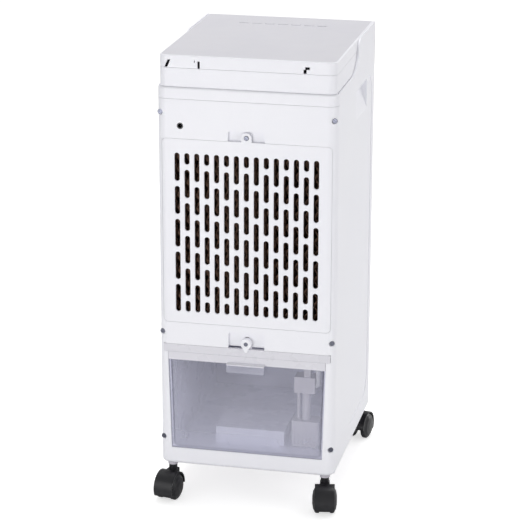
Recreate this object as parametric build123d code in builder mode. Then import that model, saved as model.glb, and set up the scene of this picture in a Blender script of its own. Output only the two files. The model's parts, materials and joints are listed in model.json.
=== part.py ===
"""Portable evaporative air cooler on four twin-wheel swivel casters.

Frame: millimetres, +Z up. The origin is on the floor under the middle of the cabinet. The cabinet's
rear face (intake grille and water tank) looks along +Y and its front face (air outlet) along -Y.
Left is -X and right is +X. Every height is stacked from the floor upwards.
"""
from build123d import *
import math
import os

os.makedirs("parts", exist_ok=True)

# ---------------------------------------------------------------- driving dimensions
CAB_W = 262.0          # cabinet width, side face to side face
CAB_D = 304.0          # cabinet depth, front face to rear face
CORNER_R = 14.0        # rear vertical corners of the cabinet
BOTTOM_R = 6.0         # rounding under the cabinet's outer edge
WALL = 2.5             # moulded shell wall
SEAM = 0.4             # visible joint line between fixed shells
SEAT = 0.3             # gap between a moving or inner piece and its seat

# heights of the rear face, stacked from the floor
CASTER_H = 57.0        # floor to the cabinet's underside
SILL_H = 26.5          # rail under the tank window
TANK_FACE_H = 152.0    # tank window and its band, up to the lip
TANK_LIP_H = 11.5      # wide lip along the tank's top edge
LATCH_RAIL_H = 34.8    # rail between the tank and the filter door
DOOR_H = 276.2         # filter door
TOP_RAIL_H = 58.2      # rail above the filter door
BAND_H = 17.1          # shoulder band under the head
HEAD_H = 27.2          # head housing
LID_H = 18.1           # top cover

HALF_X = CAB_W / 2
REAR_Y = CAB_D / 2
FRONT_Y = -CAB_D / 2
BASE_Z = CASTER_H
SILL_Z = BASE_Z + SILL_H
LIP_Z = SILL_Z + TANK_FACE_H
TANK_TOP_Z = LIP_Z + TANK_LIP_H
DOOR_Z = TANK_TOP_Z + LATCH_RAIL_H
DOOR_TOP_Z = DOOR_Z + DOOR_H
BAND_Z = DOOR_TOP_Z + TOP_RAIL_H
HEAD_Z = BAND_Z + BAND_H
LID_Z = HEAD_Z + HEAD_H
TOP_Z = LID_Z + LID_H

# side panels
HEAD_INSET = 3.0       # head and top cover stand in from the cabinet's faces
NOTCH_INSET = 8.5      # hook notches in the cover's rear skirt, in from its side
ARM_TOP_Y = -35.0      # where the side arm reaches the top
ARM_SLOPE_Y = -10.0    # middle of the arm's sloping edge
ARM_FOOT_Y = 36.0      # where the arm's edge leaves the head seam
FIELD_DEPTH = 0.9      # shallow arched field in each side
FIELD_REAR_Y = 50.0
FIELD_FRONT_Y = -134.0
FIELD_FOOT_Z = 30.0    # field's lower edge above the cabinet's underside
FIELD_TOP_GAP = 26.0   # field's arch below the head seam
FIELD_R = 40.0
GRIP_D = 11.0          # hand grip: depth, height and ends
GRIP_H = 48.0
GRIP_SLOPE = 13.0      # fall of the grip's ceiling over its depth
GRIP_TOP_GAP = 3.0     # grip's top edge below the field's arch
GRIP_FRONT_Y = -91.0
GRIP_L = 90.0

# filter door and its grille
DOOR_W = 247.6
DOOR_R = 6.0
DOOR_T = 5.5           # rim of the door, front to back
DOOR_GAP = 0.4
LEDGE_T = 2.2          # ledge that the door closes on
LEDGE_W = 12.0
SLOT_PITCH_X = 14.5
SLOT_PITCH_Z = 49.3
SLOT_W = 7.8
SLOT_L = 42.0
SLOT_SHORT_L = 17.0
SLOT_COLUMNS = 15
SLOT_ROWS = 5
EAR_R = 7.4            # round ear with the door's screw
EAR_T = 2.6
EAR_RISE = 6.3         # ear's centre above the door's top edge
RECESS_W = 54.0        # shallow pocket round the ear, also round the tank latch
RECESS_H = 16.0
RECESS_D = 6.0
RECESS_R = 5.0
CUP_GAP = 2.4          # slot under each pocket's back wall
PEG_D = 4.0
PEG_L = 6.0
PEG_X = 100.0

# water tank
TANK_L = 268.0         # front to back
TANK_WALL = 2.4
TANK_POST_W = 13.2     # cabinet wall and post beside the tank's face, under the lip
TANK_TOP_HALF = HALF_X - TANK_POST_W
TANK_DRAFT = 4.3       # how much narrower each side is at the foot
TANK_SIDE_STEP = 2.1   # the tank's side stands in from its face
LIP_POST_W = 6.6       # cabinet wall and post beside the tank's lip
LIP_HALF = HALF_X - LIP_POST_W
LIP_T = 6.0
BAND_FACE_H = 12.0     # thick band under the lip
BAND_FACE_T = 0.7      # how far the band stands out of the window
PULL_W = 56.0          # finger pull hanging from the band
PULL_DROP = 11.0
PULL_OUT = 9.5
PULL_T = 1.8
BLOCK_W = 104.0        # raised block in the tank's floor
BLOCK_H = 26.0
BLOCK_L = 82.0
BLOCK_FROM_FACE = 24.0
TANK_TRAVEL = 200.0

# tank latch
LATCH_R = 8.0
LATCH_T = 7.0
LATCH_RISE = 9.0       # pivot above the tank's top edge
LATCH_RECESS_H = 25.0
NOSE_L = 13.0
NOSE_TIP_W = 3.0
CAM_W = 5.0
CAM_L = 15.0
CAM_T = 3.4
SHAFT_R = 2.4
RUN_FIT = 0.06         # radial clearance of a running fit

# corner screws and cord outlet
SCREW_X_INSET = 4.8    # screw axis in from the side face
SCREW_HEAD_R = 3.4
SCREW_PIT_R = 4.2
SCREW_SHANK_R = 1.9
SCREW_L = 12.0
SCREW_DEPTH = 3.0      # head below the outer face
SCREW_HEIGHTS = (SILL_Z + 15.5, TANK_TOP_Z + 18.0, BAND_Z - 20.5)
CORD_HOLE_X = 96.5
CORD_HOLE_DROP = 39.0  # below the band seam
CORD_HOLE_R = 4.8
CORD_BORE_R = 3.25
CORD_BUSH_L = 7.0

# wet pack
PAD_T = 40.0
PAD_HALF = 113.0
FRAME_T = 2.0
PAD_FOOT = 8.0         # pad frame's foot above the door's lower edge
DIVIDER_GAP = 3.5      # floor of the air chamber above the tank's top
DIVIDER_T = 2.5
TROUGH_H = 9.0
FEED_H = 15.0          # water distributor above the pad
DRIP_R = 1.4
DRIP_COUNT = 13

# fan
FAN_X = -8.0
FAN_Z = 391.0
FAN_R = 78.0
FAN_L = 62.0
FAN_BLADES = 22
BLADE_T = 1.4
BLADE_CHORD = 15.0
FAN_SIDE_GAP = 4.0
SCROLL_R = 86.0
SCROLL_STEP = 8.0
SCROLL_T = 2.5
INLET_R = 62.0
SCROLL_REAR_Y = 84.0
MOTOR_R = 45.0
MOTOR_L = 44.0
MOTOR_SHAFT_R = 4.0

# air outlet
OUTLET_W = 204.0
OUTLET_H = 112.0
OUTLET_BELOW_SEAM = 14.0
SLEEVE_T = 2.0
SLEEVE_L = 55.0
BEZEL_OUT = 1.5
DUCT_R = 70.0
LOUVRE_COUNT = 5
LOUVRE_PITCH = 21.0
LOUVRE_CHORD = 24.0
LOUVRE_T = 2.2
LOUVRE_Y_IN = 14.0     # louvre pivots behind the front face
VANE_COUNT = 5
VANE_PITCH = 36.0
VANE_FRONT = 15.0
VANE_BACK = 17.0
VANE_T = 1.8
VANE_Y_IN = 44.0       # vane pivots behind the front face
PIVOT_R = 1.5
CRANK_R = 1.0
LOUVRE_CRANK = 8.0
VANE_CRANK = 12.0
LINK_T = 2.0
LINK_W = 5.0

# controls
FASCIA_H = 60.0
FASCIA_T = 2.2
FASCIA_BELOW_TOP = 6.5
KEY_COUNT = 7
KEY_PITCH = 20.0
KEY_W = 14.0
KEY_D = 9.0
KEY_PROUD = 0.8
KEY_TRAVEL = 1.0
KEY_GAP = 0.25
KEY_FROM_FRONT = 55.0
PANEL_T = 1.5

# casters
WHEEL_R = 20.0
WHEEL_GAP = 15.8       # between the two wheels
TREAD_W = 6.6
DOME = 3.9
CASTER_TRAIL = 14.0
CASTER_X_INSET = 15.0
CASTER_Y_INSET = 15.0
HOOD_T = 2.2
HOOD_HALF = 14.8
COLLAR_R = 7.5
COLLAR_DROP = 5.6
BOSS_R = 6.3
STEM_R = 4.0
STEM_L = 26.0
AXLE_R = 2.0
REAR_RIGHT_TURN = -12.0   # swivel of each caster at rest, from straight back
REAR_LEFT_TURN = 10.5


# ---------------------------------------------------------------- helpers
def block(x, y, z, mode=Mode.ADD):
    """Block between two corners, each argument a (low, high) pair, in the open part."""
    with Locations(((x[0] + x[1]) / 2, (y[0] + y[1]) / 2, (z[0] + z[1]) / 2)):
        Box(x[1] - x[0], y[1] - y[0], z[1] - z[0], mode=mode)


def upright(y):
    """Plane across the cabinet at depth y: local x is X, local y is Z, extrusion runs to -Y."""
    return Plane(origin=(0, y, 0), x_dir=(1, 0, 0), z_dir=(0, -1, 0))


def sideways(x):
    """Plane along the cabinet at x: local x is Y, local y is Z, extrusion runs to +X."""
    return Plane(origin=(x, 0, 0), x_dir=(0, 1, 0), z_dir=(1, 0, 0))


def plan_prism(half_x, y_front, y_rear, radius, z0, z1, mode=Mode.ADD):
    """Prism of the cabinet's plan, its two rear corners rounded, in the open part."""
    with BuildSketch(Plane.XY.offset(z0)) as plan:
        with Locations((0, (y_front + y_rear) / 2)):
            Rectangle(2 * half_x, y_rear - y_front)
        fillet(plan.vertices().group_by(Axis.Y)[-1], min(radius, y_rear - y_front - 0.5))
    extrude(plan.sketch, amount=z1 - z0, mode=mode)


def rod_y(x, z, y0, y1, radius, mode=Mode.ADD):
    """Round rod or hole along Y, in the open part."""
    with Locations((x, (y0 + y1) / 2, z)):
        Cylinder(radius, y1 - y0, rotation=(90, 0, 0), mode=mode)


def rod_x(y, z, x0, x1, radius, mode=Mode.ADD):
    """Round rod or hole along X, in the open part."""
    with Locations(((x0 + x1) / 2, y, z)):
        Cylinder(radius, x1 - x0, rotation=(0, 90, 0), mode=mode)


def rod_z(x, y, z0, z1, radius, mode=Mode.ADD):
    """Round rod or hole along Z, in the open part."""
    with Locations((x, y, (z0 + z1) / 2)):
        Cylinder(radius, z1 - z0, mode=mode)


def save(part, name):
    """Label a finished piece and write its STEP file."""
    part.label = name
    export_step(part, f"parts/{name}.step")


# ---------------------------------------------------------------- rear shell
ledge_front_y = REAR_Y - DOOR_T - SEAT          # face of the ledge that the door closes on
ledge_back_y = ledge_front_y - LEDGE_T
door_open_half = DOOR_W / 2 + DOOR_GAP
window_half = DOOR_W / 2 - LEDGE_W
recess_floor_y = REAR_Y - RECESS_D
recess_back_y = recess_floor_y - WALL
ear_z = DOOR_TOP_Z + EAR_RISE
latch_z = TANK_TOP_Z + LATCH_RISE
face_foot_half = TANK_TOP_HALF - TANK_DRAFT
joint_y = REAR_Y - CORNER_R                      # where the rear shell meets the side panels
screw_x = HALF_X - SCREW_X_INSET
screw_face_y = REAR_Y - SCREW_DEPTH - 3.0
cord_z = BAND_Z - CORD_HOLE_DROP
keyhole_w = CAM_W + 1.0
keyhole_h = CAM_L + 1.4
caster_x = HALF_X - CASTER_X_INSET
caster_y = REAR_Y - CASTER_Y_INSET
caster_spots = [(side * caster_x, end * caster_y) for side in (-1, 1) for end in (-1, 1)]


def tank_opening(gap):
    """Outline of the tank's face with a gap round it: tapered window and wide lip."""
    foot = face_foot_half + gap
    head = TANK_TOP_HALF + gap
    lip = LIP_HALF + gap
    right = [(foot, SILL_Z - gap), (head, LIP_Z - gap), (lip, LIP_Z - gap), (lip, TANK_TOP_Z + gap)]
    left = [(-x, z) for x, z in reversed(right)]
    Polyline(*right, *left, close=True)


with BuildPart() as rear_shell:
    plan_prism(HALF_X, joint_y, REAR_Y, CORNER_R, BASE_Z, BAND_Z - SEAM)
    foot_edges = rear_shell.edges().group_by(Axis.Z)[0].sort_by(Axis.Y)[1:]
    fillet(foot_edges, BOTTOM_R)
    plan_prism(HALF_X - WALL, joint_y - 1, REAR_Y - WALL, CORNER_R - WALL, BASE_Z + WALL, BAND_Z,
               mode=Mode.SUBTRACT)
    # frame round the door, with its ledge
    block((-door_open_half - 2, door_open_half + 2), (ledge_back_y, REAR_Y - WALL - 1.5),
          (DOOR_Z - DOOR_GAP - 2, DOOR_TOP_Z + DOOR_GAP + 2))
    # cups behind the two recesses
    for foot, height in ((DOOR_TOP_Z, RECESS_H), (TANK_TOP_Z, LATCH_RECESS_H)):
        block((-RECESS_W / 2 - WALL, RECESS_W / 2 + WALL), (recess_back_y, REAR_Y - 1),
              (foot + CUP_GAP, foot + height + WALL))
    # bosses for the corner screws, inside the corner columns
    for side in (-1, 1):
        for height in SCREW_HEIGHTS:
            rod_y(side * (screw_x - 1.2), height, joint_y + 0.5, screw_face_y + 2, SCREW_PIT_R + 1.4)
    with BuildSketch(upright(REAR_Y + 1)) as door_hole:
        with Locations((0, (DOOR_Z + DOOR_TOP_Z) / 2)):
            RectangleRounded(2 * door_open_half, DOOR_H + 2 * DOOR_GAP, DOOR_R + DOOR_GAP)
    extrude(door_hole.sketch, amount=REAR_Y + 1 - ledge_front_y, mode=Mode.SUBTRACT)
    block((-window_half, window_half), (ledge_back_y - 1, REAR_Y),
          (DOOR_Z + LEDGE_W, DOOR_TOP_Z - LEDGE_W), mode=Mode.SUBTRACT)
    with BuildSketch(upright(REAR_Y + 1)) as tank_hole:
        with BuildLine():
            tank_opening(DOOR_GAP)
        make_face()
    extrude(tank_hole.sketch, amount=CORNER_R + 2, mode=Mode.SUBTRACT)
    for foot, height in ((DOOR_TOP_Z, RECESS_H), (TANK_TOP_Z, LATCH_RECESS_H)):
        with BuildSketch(upright(REAR_Y + 1)) as pocket:
            with Locations((0, foot + height / 2 - RECESS_R / 2)):
                RectangleRounded(RECESS_W, height + RECESS_R, RECESS_R)
            with Locations((0, foot - 2 * RECESS_R)):
                Rectangle(RECESS_W, 4 * RECESS_R + 2 * DOOR_GAP, mode=Mode.SUBTRACT)
        extrude(pocket.sketch, amount=RECESS_D + 1, mode=Mode.SUBTRACT)
    rod_y(0, ear_z, recess_back_y - 1, REAR_Y, SCREW_SHANK_R + SEAT, mode=Mode.SUBTRACT)
    block((-keyhole_w / 2, keyhole_w / 2), (recess_back_y - 1, REAR_Y),
          (latch_z - keyhole_h / 2, latch_z + keyhole_h / 2), mode=Mode.SUBTRACT)
    for side in (-1, 1):
        rod_y(side * PEG_X, DOOR_Z + LEDGE_W / 2, ledge_back_y - 1, REAR_Y, PEG_D / 2 + SEAT,
              mode=Mode.SUBTRACT)
        for height in SCREW_HEIGHTS:
            rod_y(side * screw_x, height, screw_face_y, REAR_Y + 1, SCREW_PIT_R, mode=Mode.SUBTRACT)
            rod_y(side * screw_x, height, joint_y - 1, screw_face_y + 1, SCREW_SHANK_R,
                  mode=Mode.SUBTRACT)
    rod_y(CORD_HOLE_X, cord_z, REAR_Y - 2 * WALL, REAR_Y + 1, CORD_HOLE_R, mode=Mode.SUBTRACT)
    for spot in caster_spots:
        rod_z(*spot, BASE_Z - 1, BASE_Z + WALL + 1, COLLAR_R + 0.1, mode=Mode.SUBTRACT)
save(rear_shell.part, "rear_shell")

with BuildPart() as cord_bush:
    rod_y(CORD_HOLE_X, cord_z, REAR_Y - CORD_BUSH_L, REAR_Y - 0.3, CORD_HOLE_R)
    rod_y(CORD_HOLE_X, cord_z, REAR_Y - CORD_BUSH_L, REAR_Y - WALL - 0.1, CORD_HOLE_R + 1.6)
    rod_y(CORD_HOLE_X, cord_z, REAR_Y - CORD_BUSH_L - 1, REAR_Y + 1, CORD_BORE_R, mode=Mode.SUBTRACT)
save(cord_bush.part, "cord_bush")

with BuildPart() as panel_screws:
    for side in (-1, 1):
        for height in SCREW_HEIGHTS:
            rod_y(side * screw_x, height, screw_face_y, screw_face_y + 2.2, SCREW_HEAD_R)
            rod_y(side * screw_x, height, screw_face_y - SCREW_L, screw_face_y, SCREW_SHANK_R - 0.05)
            for turn in (45, 135):
                with Locations((side * screw_x, screw_face_y + 2.0, height)):
                    Box(4.2, 1.4, 0.9, rotation=(0, turn, 0), mode=Mode.SUBTRACT)
save(panel_screws.part, "panel_screws")

# ---------------------------------------------------------------- shoulder band
head_half = HALF_X - HEAD_INSET
head_rear_y = REAR_Y - HEAD_INSET

with BuildPart() as rear_band:
    plan_prism(HALF_X, joint_y, REAR_Y, CORNER_R, BAND_Z, HEAD_Z - SEAM)
    shoulder = rear_band.edges().group_by(Axis.Z)[-1].sort_by(Axis.Y)[1:]
    fillet(shoulder, HEAD_INSET)
    plan_prism(HALF_X - WALL, joint_y - 1, REAR_Y - WALL, CORNER_R - WALL, BAND_Z - 1,
               HEAD_Z - SEAM - WALL, mode=Mode.SUBTRACT)
    plan_prism(HALF_X - 2 * HEAD_INSET - WALL, joint_y - 1, REAR_Y - 2 * HEAD_INSET - WALL,
               CORNER_R - 2 * WALL, BAND_Z, HEAD_Z, mode=Mode.SUBTRACT)
save(rear_band.part, "rear_band")

# ---------------------------------------------------------------- side panels
side_wall = HEAD_INSET - SEAT
side_inner = HALF_X - side_wall
side_rear_y = joint_y - SEAM
field_top_z = HEAD_Z - FIELD_TOP_GAP
grip_top_z = field_top_z - GRIP_TOP_GAP
boss_y0 = screw_face_y - SCREW_L - 2


def grip_section(side, shell):
    """Wedge section of the hand grip across the side wall, or of its cup when shell is not 0."""
    mouth = HALF_X - 0.5 if shell else HALF_X + 1
    edge = HALF_X - 0.5 if shell else HALF_X
    apex = (side * (HALF_X - GRIP_D - shell), grip_top_z - GRIP_SLOPE + 0.4 * shell)
    head = grip_top_z + 1.3 * shell
    foot = grip_top_z - GRIP_H - 1.2 * shell
    corners = [(side * edge, head), apex, (side * edge, foot)]
    if not shell:
        corners += [(side * mouth, foot), (side * mouth, head)]
    Polyline(*corners, close=True)


def side_panel(side):
    """One side panel: flat wall with its arm, arched field, hand grip and rear flange."""
    low_x, high_x = sorted((side * side_inner, side * HALF_X))
    with BuildPart() as panel:
        with BuildSketch(sideways(low_x)) as wall:
            with BuildLine():
                foot = Line((side_rear_y, BASE_Z), (side_rear_y, HEAD_Z - SEAM))
                seam = Line(foot @ 1, (ARM_FOOT_Y, HEAD_Z - SEAM))
                rise = TangentArc(seam @ 1, (ARM_SLOPE_Y, (HEAD_Z + TOP_Z) / 2), tangent=(-1, 0))
                crest = TangentArc((ARM_TOP_Y, TOP_Z), rise @ 1, tangent=(1, 0))
                top = Line(crest @ 0, (FRONT_Y, TOP_Z))
                front = Line(top @ 1, (FRONT_Y, BASE_Z))
                Line(front @ 1, foot @ 0)
            make_face()
        extrude(wall.sketch, amount=side_wall)
        outer_face = panel.faces().filter_by(Axis.X).sort_by(Axis.X)[-1 if side > 0 else 0]
        bottom_edge = outer_face.edges().group_by(Axis.Z)[0]
        fillet(bottom_edge, min(BOTTOM_R, side_wall - 0.3))
        # flange behind the corner column, with its screw bosses
        flange_x = sorted((side * (screw_x - SCREW_PIT_R - 4), side * side_inner))
        block(flange_x, (side_rear_y - WALL, side_rear_y), (BASE_Z + FIELD_FOOT_Z, BAND_Z - 10))
        for height in SCREW_HEIGHTS:
            rod_y(side * (screw_x - 2.3), height, boss_y0, side_rear_y, SCREW_SHANK_R + 2.8)
        # cup of the hand grip
        with BuildSketch(upright(GRIP_FRONT_Y + GRIP_L + WALL)) as cup:
            with BuildLine():
                grip_section(side, 1.8)
            make_face()
        extrude(cup.sketch, amount=GRIP_L + 2 * WALL)
        # arched field
        with BuildSketch(sideways(side * (HALF_X - FIELD_DEPTH) if side > 0 else -HALF_X)) as field:
            with Locations(((FIELD_REAR_Y + FIELD_FRONT_Y) / 2, (BASE_Z + FIELD_FOOT_Z + field_top_z) / 2)):
                RectangleRounded(FIELD_REAR_Y - FIELD_FRONT_Y, field_top_z - BASE_Z - FIELD_FOOT_Z, FIELD_R)
        extrude(field.sketch, amount=FIELD_DEPTH, mode=Mode.SUBTRACT)
        with BuildSketch(upright(GRIP_FRONT_Y + GRIP_L)) as grip:
            with BuildLine():
                grip_section(side, 0.0)
            make_face()
        extrude(grip.sketch, amount=GRIP_L, mode=Mode.SUBTRACT)
        for height in SCREW_HEIGHTS:
            rod_y(side * screw_x, height, screw_face_y - SCREW_L - 0.5, side_rear_y + 1, SCREW_SHANK_R,
                  mode=Mode.SUBTRACT)
    return panel.part


save(side_panel(-1), "side_panel_left")
save(side_panel(1), "side_panel_right")

# ---------------------------------------------------------------- base tray
tray_half = side_inner - 0.1
tray_z = BASE_Z + WALL + 0.1
tray_rear_y = REAR_Y - WALL - 0.1
panel_back_y = FRONT_Y + WALL                    # rear face of the front panel
tank_foot_z = SILL_Z + 0.7
runner_top_z = tank_foot_z - SEAT
socket_top_z = tray_z + STEM_L - 2
tank_back_y = REAR_Y - TANK_L
rim_top_z = SILL_Z - 4.0

with BuildPart() as base_tray:
    plan_prism(tray_half, panel_back_y + 0.1, tray_rear_y, CORNER_R - WALL, tray_z, rim_top_z)
    plan_prism(tray_half - WALL, panel_back_y + 0.1 + WALL, tray_rear_y - WALL, CORNER_R - 2 * WALL,
               tray_z + WALL, rim_top_z + 1, mode=Mode.SUBTRACT)
    for x in (-90.0, -34.0, 34.0, 90.0):
        block((x - 1.5, x + 1.5), (tank_back_y - 6, REAR_Y - LIP_T), (tray_z, runner_top_z))
    for x, y in caster_spots:
        rod_z(x, y, BASE_Z - COLLAR_DROP, socket_top_z, COLLAR_R)
    for x, y in caster_spots:
        rod_z(x, y, BASE_Z - COLLAR_DROP - 1, socket_top_z - WALL, STEM_R + RUN_FIT, mode=Mode.SUBTRACT)
save(base_tray.part, "base_tray")

# ---------------------------------------------------------------- front panel and outlet
fascia_top_z = TOP_Z - FASCIA_BELOW_TOP
fascia_z = fascia_top_z - FASCIA_H
outlet_top_z = fascia_z - OUTLET_BELOW_SEAM
outlet_z = outlet_top_z - OUTLET_H
outlet_half = OUTLET_W / 2
sleeve_back_y = FRONT_Y + SLEEVE_L
bezel = 7.0
louvre_y = FRONT_Y + LOUVRE_Y_IN
vane_y = FRONT_Y + VANE_Y_IN
outlet_mid_z = (outlet_z + outlet_top_z) / 2
louvre_zs = [outlet_mid_z + (i - (LOUVRE_COUNT - 1) / 2) * LOUVRE_PITCH for i in range(LOUVRE_COUNT)]
vane_xs = [(i - (VANE_COUNT - 1) / 2) * VANE_PITCH for i in range(VANE_COUNT)]
frame_x = outlet_half + SLEEVE_T

with BuildPart() as front_panel:
    block((-tray_half, tray_half), (FRONT_Y, panel_back_y), (BASE_Z, fascia_z - SEAM))
    fillet(front_panel.edges().group_by(Axis.Z)[0].group_by(Axis.Y)[0], 1.5)
    block((-tray_half, tray_half), (panel_back_y - 0.5, panel_back_y + 8),
          (outlet_top_z + 5, outlet_top_z + 5 + WALL))
    block((-frame_x, frame_x), (FRONT_Y - 1, panel_back_y + 9),
          (outlet_z - SLEEVE_T, outlet_top_z + SLEEVE_T), mode=Mode.SUBTRACT)
save(front_panel.part, "front_panel")

with BuildPart() as outlet_frame:
    block((-frame_x, frame_x), (FRONT_Y - BEZEL_OUT, sleeve_back_y),
          (outlet_z - SLEEVE_T, outlet_top_z + SLEEVE_T))
    block((-outlet_half - bezel, outlet_half + bezel), (FRONT_Y - BEZEL_OUT, FRONT_Y),
          (outlet_z - bezel, outlet_top_z + bezel))
    fillet(outlet_frame.edges().filter_by(Axis.Y).group_by(Axis.Z)[0], 4.0)
    fillet(outlet_frame.edges().filter_by(Axis.Y).group_by(Axis.Z)[-1], 4.0)
    block((-outlet_half, outlet_half), (FRONT_Y - BEZEL_OUT - 1, sleeve_back_y + 1),
          (outlet_z, outlet_top_z), mode=Mode.SUBTRACT)
    for height in louvre_zs:
        rod_x(louvre_y, height, -frame_x - 1, frame_x + 1, PIVOT_R + RUN_FIT, mode=Mode.SUBTRACT)
    for x in vane_xs:
        rod_z(x, vane_y, outlet_z - SLEEVE_T - 1, outlet_top_z + SLEEVE_T + 1, PIVOT_R + RUN_FIT,
              mode=Mode.SUBTRACT)
save(outlet_frame.part, "outlet_frame")

link_x = 71.0
louvre_end = outlet_half - 0.5
crank_y = louvre_y + LOUVRE_CRANK
for number, height in enumerate(louvre_zs, start=1):
    with BuildPart() as louvre:
        with BuildSketch(sideways(-louvre_end)) as blade:
            with Locations((louvre_y, height)):
                SlotOverall(LOUVRE_CHORD, LOUVRE_T)
        extrude(blade.sketch, amount=2 * louvre_end)
        rod_x(louvre_y, height, -louvre_end, louvre_end, PIVOT_R)
        rod_x(louvre_y, height, -frame_x, frame_x, PIVOT_R)
        block((link_x - 1.5, link_x + LINK_T + 1.5), (crank_y - 5.8, crank_y + 10),
              (height - 3, height + 3), mode=Mode.SUBTRACT)
        rod_x(crank_y, height, link_x - 3, link_x + LINK_T + 3, CRANK_R)
    save(louvre.part, f"louvre_{number}")

with BuildPart() as louvre_link:
    with BuildSketch(sideways(link_x)) as strip:
        with Locations((crank_y, outlet_mid_z)):
            SlotOverall((LOUVRE_COUNT - 1) * LOUVRE_PITCH + LINK_W, LINK_W, rotation=90)
    extrude(strip.sketch, amount=LINK_T)
    for height in louvre_zs:
        rod_x(crank_y, height, link_x - 1, link_x + LINK_T + 1, CRANK_R + RUN_FIT, mode=Mode.SUBTRACT)
save(louvre_link.part, "louvre_link")

vane_z = outlet_z + 2.0
vane_top_z = outlet_top_z - 2.0
vane_link_z = outlet_z + 15.0
vane_crank_y = vane_y + VANE_CRANK
motor_top_z = outlet_z - SLEEVE_T
for number, x in enumerate(vane_xs, start=1):
    with BuildPart() as vane:
        with BuildSketch(Plane.XY.offset(vane_z)) as blade:
            with Locations((x, vane_y + (VANE_BACK - VANE_FRONT) / 2)):
                SlotOverall(VANE_FRONT + VANE_BACK, VANE_T, rotation=90)
        extrude(blade.sketch, amount=vane_top_z - vane_z)
        rod_z(x, vane_y, outlet_z + SEAT, vane_top_z, PIVOT_R + 0.9)
        pin_foot = motor_top_z - (8.0 if x == 0 else 0.0)
        rod_z(x, vane_y, pin_foot, outlet_top_z + SLEEVE_T, PIVOT_R)
        block((x - 3, x + 3), (vane_crank_y - 6.5, vane_crank_y + 12),
              (vane_link_z - 1.5, vane_link_z + LINK_T + 1.5), mode=Mode.SUBTRACT)
        rod_z(x, vane_crank_y, vane_link_z - 3, vane_link_z + LINK_T + 3, CRANK_R)
    save(vane.part, f"vane_{number}")

with BuildPart() as vane_link:
    with BuildSketch(Plane.XY.offset(vane_link_z)) as strip:
        with Locations((0, vane_crank_y)):
            SlotOverall((VANE_COUNT - 1) * VANE_PITCH + LINK_W, LINK_W)
    extrude(strip.sketch, amount=LINK_T)
    for x in vane_xs:
        rod_z(x, vane_crank_y, vane_link_z - 1, vane_link_z + LINK_T + 1, CRANK_R + RUN_FIT,
              mode=Mode.SUBTRACT)
save(vane_link.part, "vane_link")

with BuildPart() as swing_motor:
    rod_z(0, vane_y, motor_top_z - 19, motor_top_z, 14.0)
    block((-17.5, 17.5), (vane_y - 3.5, vane_y + 3.5), (motor_top_z - 1.2, motor_top_z))
    block((-7.5, 7.5), (vane_y + 10, vane_y + 17), (motor_top_z - 17, motor_top_z - 1))
    rod_z(0, vane_y, motor_top_z - 10, motor_top_z + 1, PIVOT_R + RUN_FIT, mode=Mode.SUBTRACT)
save(swing_motor.part, "swing_motor")

# ---------------------------------------------------------------- head
head_front_y = FRONT_Y
cover_skirt_t = 2.2
shelf_w = 6.0
lid_inner_z = TOP_Z - PANEL_T - 2.2              # underside of the cover's top plate
key_y = FRONT_Y + KEY_FROM_FRONT
key_xs = [(i - (KEY_COUNT - 1) / 2) * KEY_PITCH for i in range(KEY_COUNT)]
panel_inset = 2.0

with BuildPart() as control_fascia:
    block((-HALF_X, HALF_X), (FRONT_Y - FASCIA_T, FRONT_Y), (fascia_z, fascia_top_z))
    fillet(control_fascia.edges().filter_by(Axis.Y), 3.0)
    fillet(control_fascia.faces().sort_by(Axis.Y)[0].edges(), 0.8)
save(control_fascia.part, "control_fascia")

with BuildPart() as head_housing:
    plan_prism(head_half, head_front_y, head_rear_y, CORNER_R - HEAD_INSET, HEAD_Z, LID_Z - SEAM)
    plan_prism(head_half - WALL, head_front_y + WALL, head_rear_y - WALL, CORNER_R - HEAD_INSET - WALL,
               HEAD_Z - 1, LID_Z + 1, mode=Mode.SUBTRACT)
    # shelf all round that carries the cover
    plan_prism(head_half - 1, head_front_y + 1, head_rear_y - 1, CORNER_R - HEAD_INSET - 1,
               LID_Z - SEAM - 3, LID_Z - SEAM)
    plan_prism(head_half - shelf_w, head_front_y + shelf_w, head_rear_y - shelf_w,
               CORNER_R - HEAD_INSET - 4, LID_Z - SEAM - 4, LID_Z + 1, mode=Mode.SUBTRACT)
    block((-tray_half, tray_half), (FRONT_Y, FRONT_Y + WALL), (fascia_z, HEAD_Z + 2))
    for side in (-1, 1):
        block((side * 60 - 6, side * 60 + 6), (head_rear_y - 10, head_rear_y - 1),
              (HEAD_Z - SEAM, HEAD_Z + 8))
save(head_housing.part, "head_housing")

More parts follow.
